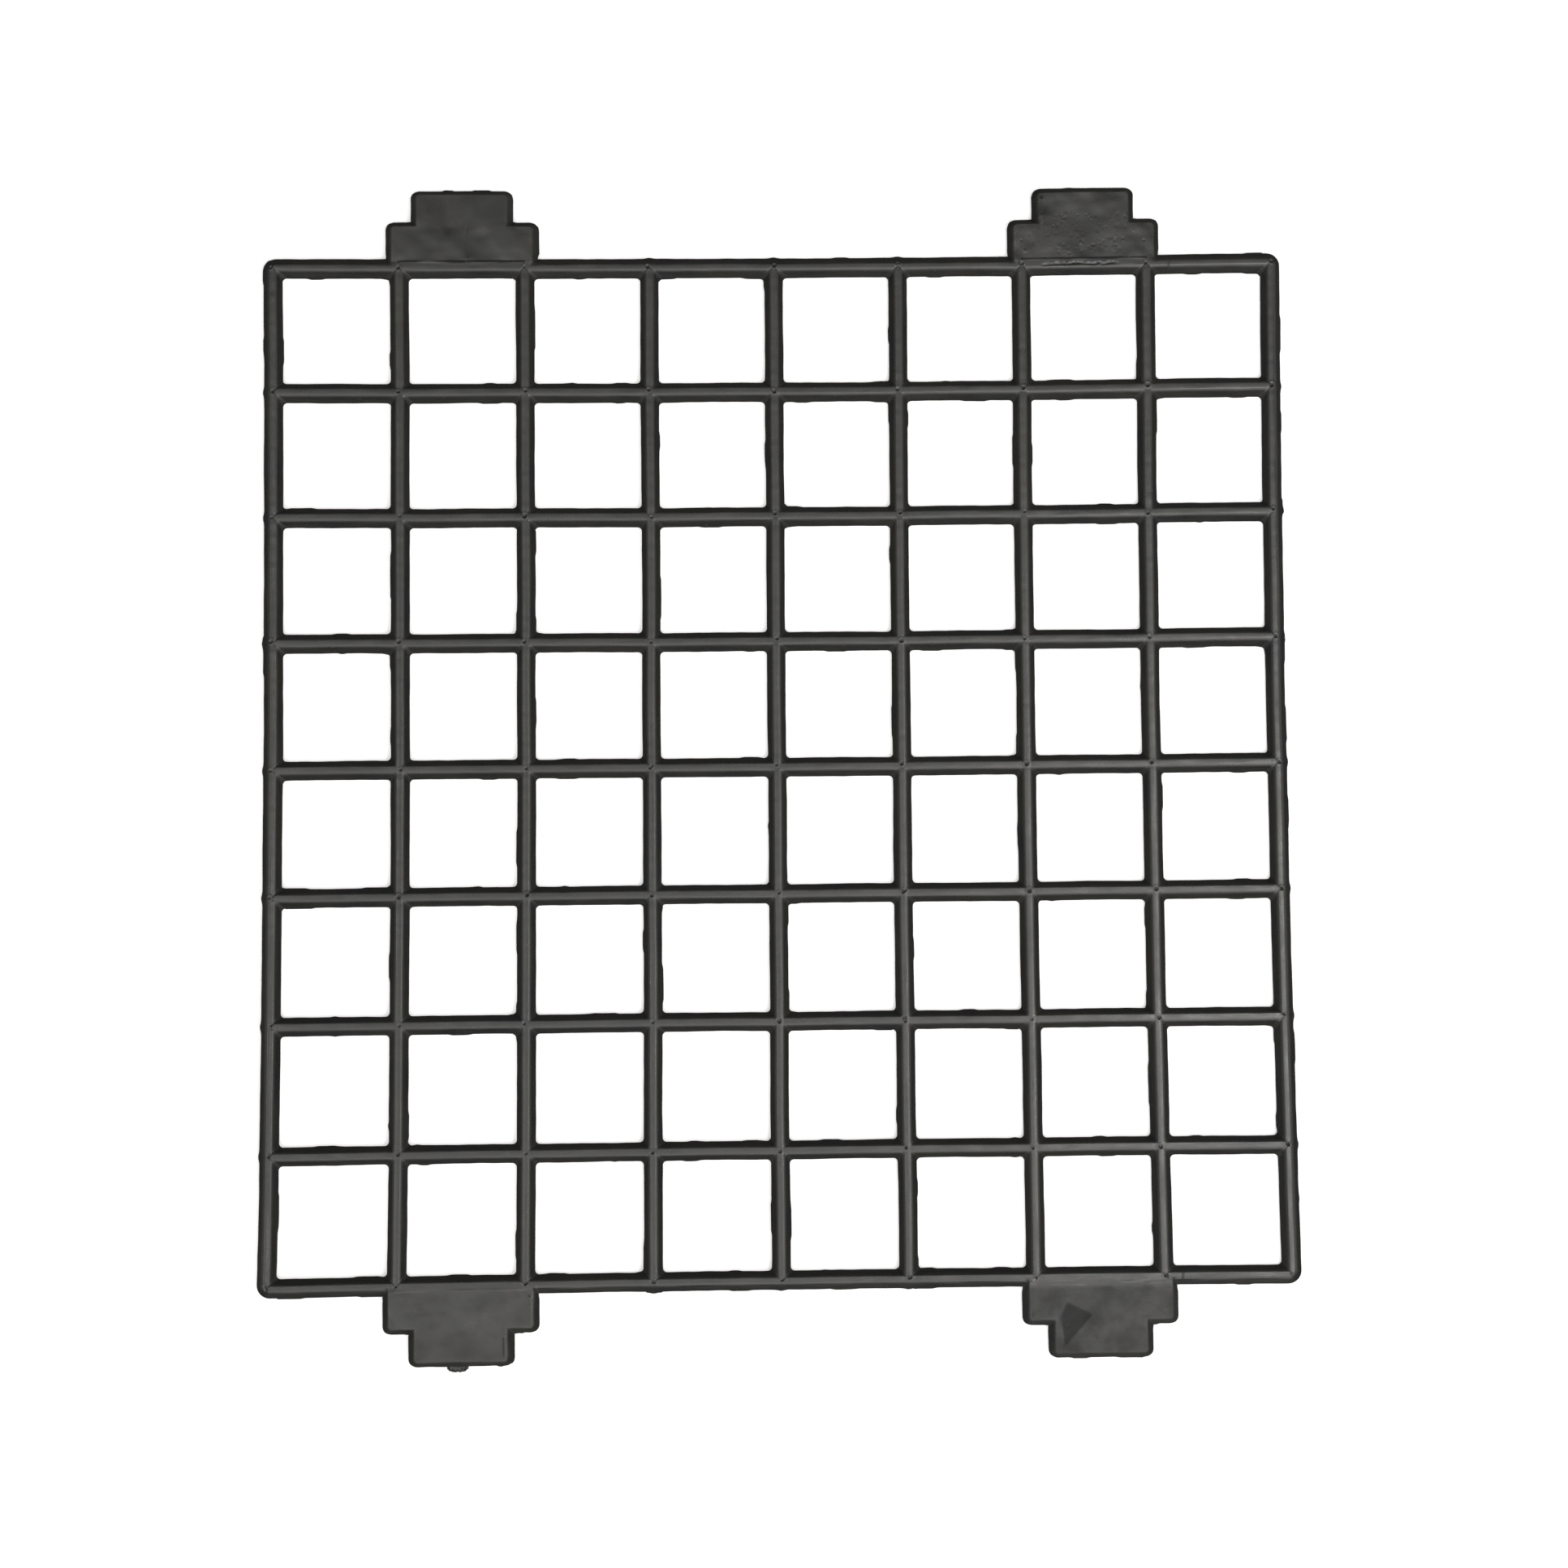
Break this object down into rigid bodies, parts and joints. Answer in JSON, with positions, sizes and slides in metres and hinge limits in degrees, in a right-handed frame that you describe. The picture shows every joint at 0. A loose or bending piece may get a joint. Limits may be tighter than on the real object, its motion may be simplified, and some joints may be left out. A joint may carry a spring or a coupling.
{
  "type": "queen excluder",
  "caption": "Small flat queen excluder: a moulded square grid that lets worker bees through, with stepped lugs on two opposite sides.",
  "frame": {"origin": "middle of the grid, on its underside", "axes": "+Z out of the visible face; +Y across the grid towards the far pair of lugs, +X to the right seen from above"},
  "size_m": [0.0408, 0.0469, 0.0006],
  "materials": {
    "black_plastic": "black injection-moulded plastic, satin, faintly streaked along the flow of the melt"
  },
  "bodies": {
    "root": {"rim_left": "black_plastic", "rim_right": "black_plastic", "rim_near": "black_plastic", "rim_far": "black_plastic", "rib_along_1": "black_plastic", "rib_along_2": "black_plastic", "rib_along_3": "black_plastic", "rib_along_4": "black_plastic", "rib_along_5": "black_plastic", "rib_along_6": "black_plastic", "rib_along_7": "black_plastic", "rib_across_1": "black_plastic", "rib_across_2": "black_plastic", "rib_across_3": "black_plastic", "rib_across_4": "black_plastic", "rib_across_5": "black_plastic", "rib_across_6": "black_plastic", "rib_across_7": "black_plastic", "lug_far_left_shoulder": "black_plastic", "lug_far_left_tongue": "black_plastic", "lug_far_right_shoulder": "black_plastic", "lug_far_right_tongue": "black_plastic", "lug_near_left_shoulder": "black_plastic", "lug_near_left_tongue": "black_plastic", "lug_near_right_shoulder": "black_plastic", "lug_near_right_tongue": "black_plastic", "gate_stub": "black_plastic"}
  },
  "joints": []
}
